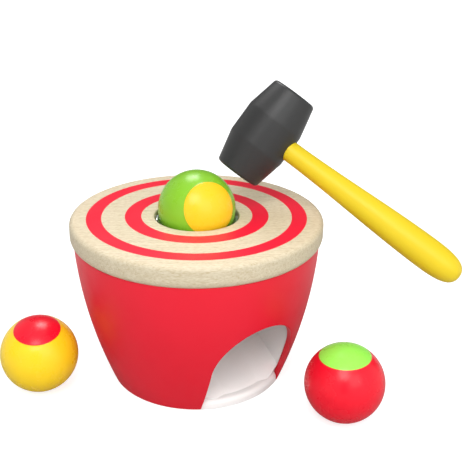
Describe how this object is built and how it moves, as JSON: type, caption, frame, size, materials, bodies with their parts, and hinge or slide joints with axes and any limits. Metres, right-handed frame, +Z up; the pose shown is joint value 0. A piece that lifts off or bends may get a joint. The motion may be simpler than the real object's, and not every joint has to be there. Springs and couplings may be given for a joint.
{
  "type": "ball pounding toy",
  "caption": "Flared drum with a wooden lid whose sprung hole holds a ball until a hammer knocks it through, onto a chute and out of an arch in front; loose balls and a hammer go with it.",
  "frame": {"origin": "centre of the base plate's underside, on the surface that the drum stands on", "axes": "+Z up along the drum's axis, -Y out of the ball exit"},
  "size_m": [0.2298, 0.204, 0.1862],
  "materials": {
    "red_shell": "moulded red plastic, satin gloss",
    "beech": "pale beech, fine grain, lacquered, two painted red rings",
    "white_plastic": "moulded white plastic, satin",
    "spring_steel": "bright spring steel strip",
    "screw_steel": "zinc plated steel",
    "green_paint": "green lacquer on wood, with a yellow dot",
    "yellow_paint": "yellow lacquer on wood, with a red dot",
    "red_paint": "red lacquer on wood, with a green dot",
    "handle_yellow": "yellow lacquer on turned wood",
    "head_grey": "dark grey satin lacquer on turned wood"
  },
  "bodies": {
    "drum": {"drum_shell": "red_shell", "wood_lid": "beech", "base_plate": "white_plastic", "ball_chute": "white_plastic", "spring_clip_1": "spring_steel", "spring_clip_2": "spring_steel", "spring_clip_3": "spring_steel", "spring_clip_4": "spring_steel", "clip_screw_1": "screw_steel", "clip_screw_2": "screw_steel", "clip_screw_3": "screw_steel", "clip_screw_4": "screw_steel", "lid_screw_1": "screw_steel", "lid_screw_2": "screw_steel", "lid_screw_3": "screw_steel", "lid_screw_4": "screw_steel", "base_screw_1": "screw_steel", "base_screw_2": "screw_steel", "base_screw_3": "screw_steel", "base_screw_4": "screw_steel", "chute_screw_1": "screw_steel", "chute_screw_2": "screw_steel"},
    "green_ball": {"green_ball": "green_paint"},
    "hammer": {"hammer_head": "head_grey", "hammer_handle": "handle_yellow"},
    "red_ball": {"red_ball": "red_paint"},
    "yellow_ball": {"yellow_ball": "yellow_paint"}
  },
  "joints": [
    {"name": "ball_drop", "type": "slide", "parent": "drum", "child": "green_ball", "axis": [0, 0, 1], "range_m": [-0.0465, 0], "deforming": ["spring_clip_1", "spring_clip_2", "spring_clip_3", "spring_clip_4"]},
    {"name": "hammer_swing", "type": "hinge", "parent": "drum", "child": "hammer", "pos_m": [0.0946, -0.1046, 0.0947], "axis": [0.6993, 0.6058, -0.3795], "range_deg": [-3, 70]},
    {"name": "red_ball_roll", "type": "slide", "parent": "drum", "child": "red_ball", "axis": [0.6331, -0.7741, 0], "range_m": [-0.022, 0.1]},
    {"name": "yellow_ball_roll", "type": "slide", "parent": "drum", "child": "yellow_ball", "axis": [-0.9467, 0.3222, 0], "range_m": [-0.011, 0.1]}
  ]
}
